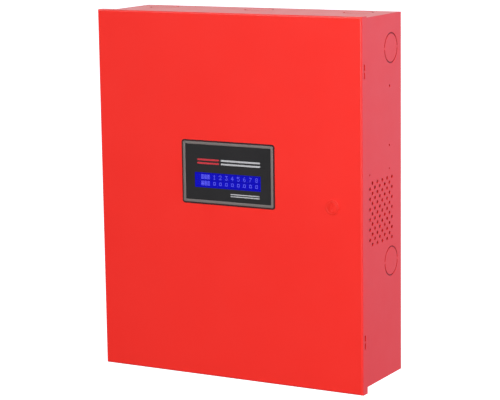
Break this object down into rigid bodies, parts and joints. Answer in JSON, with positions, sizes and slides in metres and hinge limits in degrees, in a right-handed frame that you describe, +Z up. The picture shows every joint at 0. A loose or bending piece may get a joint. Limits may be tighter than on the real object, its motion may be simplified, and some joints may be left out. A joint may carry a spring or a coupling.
{
  "type": "fire alarm control panel",
  "caption": "Red steel wall cabinet with a hinged pan door, a small two-row display, a quarter-turn latch, and boards and batteries inside.",
  "frame": {"origin": "on the cabinet's back face, where it meets the wall, midway between the wall fixings across and level with the middle of the door", "axes": "+Z up, +Y into the wall, so the door faces -Y, and +X towards the latch side"},
  "size_m": [0.3698, 0.119, 0.4572],
  "materials": {
    "red_enamel": "semi-gloss powder coat",
    "latch_enamel": "semi-gloss powder coat",
    "zinc_plate": "bright zinc plating",
    "bezel_grey": "fine-textured moulding",
    "overlay_black": "satin printed film",
    "clear_window": "clear hard-coated acrylic",
    "lcd_blue": "backlit blue",
    "black_moulding": "moulded nylon",
    "board_green": "solder mask",
    "ribbon_grey": "flexible PVC",
    "relay_blue": "moulded case",
    "lamp_red": "tinted epoxy, unlit",
    "lamp_green": "tinted epoxy, lit",
    "terminal_green": "moulded nylon",
    "button_grey": "moulded cap",
    "heat_sink_aluminium": "extruded",
    "ferrite_grey": "sintered ferrite",
    "bobbin_yellow": "taped winding",
    "capacitor_sleeve": "shrink sleeve",
    "toroid_core": "coated iron powder",
    "copper_winding": "enamelled copper wire",
    "film_yellow": "moulded box",
    "tinned_brass": "tinned",
    "fuse_glass": "clear tube with nickel caps",
    "battery_case": "moulded case",
    "socket_nylon": "natural nylon",
    "wire_red": "PVC insulation",
    "wire_black": "PVC insulation",
    "wire_green": "PVC insulation",
    "brass_stud": "plain"
  },
  "bodies": {
    "backbox": {"backbox": "red_enamel", "hinge_leaf_box": "zinc_plate", "hinge_pin": "zinc_plate", "ribbon_cable": "ribbon_grey", "board_plug": "black_moulding", "logic_board": "board_green", "relays": "relay_blue", "logic_chips": "black_moulding", "output_lamps": "lamp_red", "power_lamp": "lamp_green", "terminal_blocks": "terminal_green", "terminal_screws": "zinc_plate", "switch_bases": "black_moulding", "power_board": "board_green", "board_standoffs": "zinc_plate", "board_screws": "zinc_plate", "heat_sink": "heat_sink_aluminium", "power_transistors": "black_moulding", "transformer_core": "ferrite_grey", "transformer_winding": "bobbin_yellow", "bulk_capacitors": "capacitor_sleeve", "output_capacitors": "capacitor_sleeve", "choke_cores": "toroid_core", "choke_windings": "copper_winding", "suppression_capacitors": "film_yellow", "mains_terminals": "black_moulding", "fuse_clips": "tinned_brass", "fuse": "fuse_glass", "battery_left": "battery_case", "battery_right": "battery_case", "battery_posts": "tinned_brass", "lead_sockets": "socket_nylon", "battery_lead_red": "wire_red", "battery_lead_black": "wire_black", "battery_link": "wire_red", "box_earth_stud": "brass_stud", "earth_wire": "wire_green", "supply_plugs": "socket_nylon", "supply_wires": "wire_red"},
    "door": {"front_door": "red_enamel", "hinge_leaf_door": "zinc_plate", "display_bezel": "bezel_grey", "display_overlay": "overlay_black", "display_window": "clear_window", "lcd_glass": "lcd_blue", "lcd_frame": "black_moulding", "lcd_board": "board_green", "display_studs": "zinc_plate", "display_nuts": "zinc_plate", "display_plug": "black_moulding", "latch_body": "latch_enamel", "latch_nut": "zinc_plate", "door_earth_stud": "brass_stud"},
    "latch": {"latch_core": "latch_enamel", "latch_cam": "zinc_plate", "latch_screw": "zinc_plate"},
    "menu_button": {"button_menu": "button_grey"},
    "up_button": {"button_up": "button_grey"},
    "down_button": {"button_down": "button_grey"}
  },
  "joints": [
    {"name": "door_hinge", "type": "hinge", "parent": "backbox", "child": "door", "pos_m": [-0.183, -0.1014, 0], "axis": [0, 0, -1], "range_deg": [0, 120], "deforming": ["ribbon_cable", "earth_wire"]},
    {"name": "latch_turn", "type": "hinge", "parent": "door", "child": "latch", "pos_m": [0.1445, -0.113, 0], "axis": [0, -1, 0], "range_deg": [0, 90]},
    {"name": "menu_button_press", "type": "slide", "parent": "backbox", "child": "menu_button", "axis": [0, 1, 0], "range_m": [0, 0.0008], "stiffness_N_per_m": 800, "springref_m": -0.0005},
    {"name": "up_button_press", "type": "slide", "parent": "backbox", "child": "up_button", "axis": [0, 1, 0], "range_m": [0, 0.0008], "stiffness_N_per_m": 800, "springref_m": -0.0005},
    {"name": "down_button_press", "type": "slide", "parent": "backbox", "child": "down_button", "axis": [0, 1, 0], "range_m": [0, 0.0008], "stiffness_N_per_m": 800, "springref_m": -0.0005}
  ]
}
